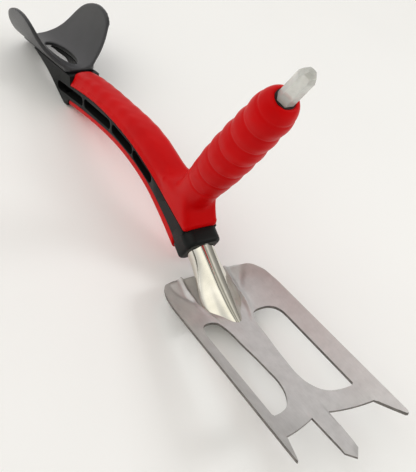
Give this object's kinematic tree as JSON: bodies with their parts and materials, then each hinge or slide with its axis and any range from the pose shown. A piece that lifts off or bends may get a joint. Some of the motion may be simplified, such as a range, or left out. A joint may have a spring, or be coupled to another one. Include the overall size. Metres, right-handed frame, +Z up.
{
  "type": "garden hand fork",
  "caption": "Garden hand fork with a dished windowed blade, an arched arm beam, a ribbed pistol grip with a clear faceted end and a saddle-shaped forearm cuff.",
  "frame": {"origin": "on the surface the tool rests on, under the middle of its length, in the symmetry plane", "axes": "+Y along the tool from the forearm cuff to the tines, +Z up, +X to the side"},
  "size_m": [0.095, 0.586, 0.2299],
  "materials": {
    "blade_steel": "satin stainless sheet",
    "neck_steel": "polished stainless tube",
    "pin_steel": "plain steel",
    "core_nylon": "moulded dark slate nylon",
    "red_elastomer": "soft satin overmould",
    "cuff_nylon": "satin moulded nylon",
    "screw_steel": "zinc plated",
    "bush_rubber": "black rubber",
    "clear_acrylic": "clear faceted acrylic"
  },
  "bodies": {
    "tool": {"fork_blade": "blade_steel", "neck_tube": "neck_steel", "neck_pins": "pin_steel", "handle_core": "core_nylon", "soft_skin": "red_elastomer", "belly_strip": "red_elastomer", "forearm_cuff": "cuff_nylon", "cuff_screws": "screw_steel", "crystal_bush": "bush_rubber"},
    "point": {"crystal_point": "clear_acrylic"}
  },
  "joints": [
    {"name": "point_pull", "type": "slide", "parent": "tool", "child": "point", "axis": [0, 0.4435, 0.8963], "range_m": [0, 0.04]}
  ]
}
